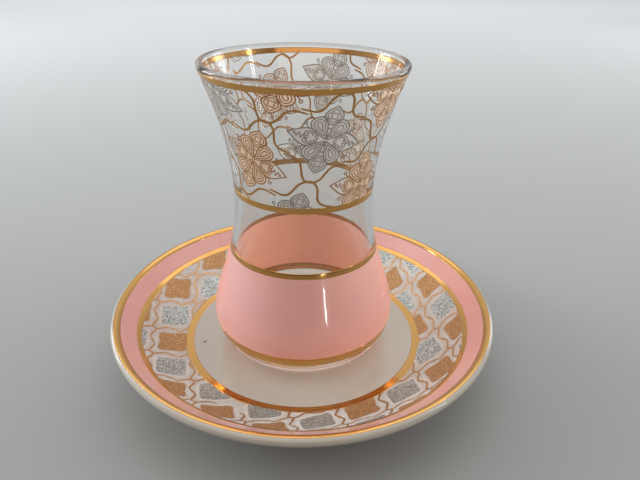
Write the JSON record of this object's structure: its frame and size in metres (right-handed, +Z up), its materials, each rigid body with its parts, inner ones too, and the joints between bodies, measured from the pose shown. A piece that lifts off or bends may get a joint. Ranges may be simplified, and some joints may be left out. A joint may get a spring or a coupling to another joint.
{
  "type": "turkish tea glass with saucer",
  "caption": "Waisted clear tea glass with enamel and gold bands, standing on its matching round porcelain saucer.",
  "frame": {"origin": "centre of the saucer's foot ring, on the surface that the saucer stands on", "axes": "+Z up along the common axis of glass and saucer; both are turned shapes, and -Y faces the picture's camera"},
  "size_m": [0.112, 0.112, 0.0875],
  "materials": {
    "clear_glass": "clear, fire-polished",
    "porcelain": "glazed, warm white",
    "pink_enamel": "glossy pink enamel",
    "gold": "bright gold paint, fired on",
    "copper_print": "copper-gold print with a fine glitter",
    "silver_print": "silver print with a fine glitter"
  },
  "bodies": {
    "root": {"glass": "clear_glass", "saucer": "porcelain"}
  },
  "joints": []
}
